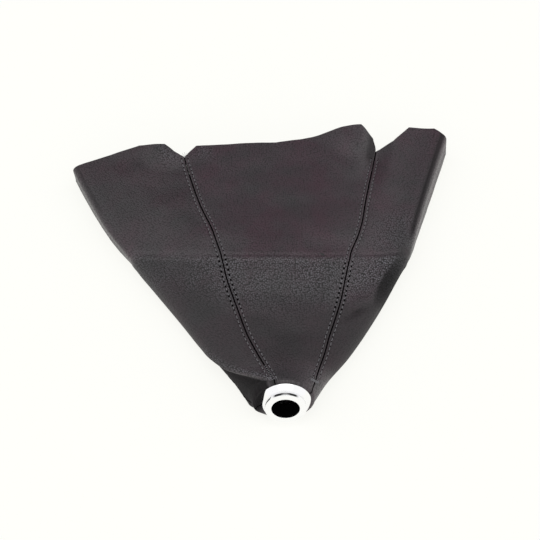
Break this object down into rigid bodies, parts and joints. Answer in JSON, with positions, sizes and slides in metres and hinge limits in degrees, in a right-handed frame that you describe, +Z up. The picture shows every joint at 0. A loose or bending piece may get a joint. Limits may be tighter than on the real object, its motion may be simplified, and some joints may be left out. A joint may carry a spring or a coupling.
{
  "type": "gear lever gaiter",
  "caption": "Four-panel sewn leather boot that covers a gear lever: bright clamped ring at the narrow neck, raw hem with clipped corners at the wide end, lying flattened.",
  "frame": {"origin": "middle of the part's footprint on the surface it lies on", "axes": "+Z up, -Y towards the neck ring, +Y towards the hem, +X to the right as seen from the ring"},
  "size_m": [0.3118, 0.2824, 0.0519],
  "materials": {
    "leather": "black synthetic leather with a fine pebbled grain, dark knitted backing inside, double grey topstitching beside each seam",
    "chrome": "polished bright plating",
    "washer_steel": "plain zinc-plated steel"
  },
  "bodies": {
    "root": {"front_panel": "leather", "right_panel": "leather", "back_panel": "leather", "left_panel": "leather", "neck_ring": "chrome", "retaining_washer": "washer_steel"}
  },
  "joints": []
}
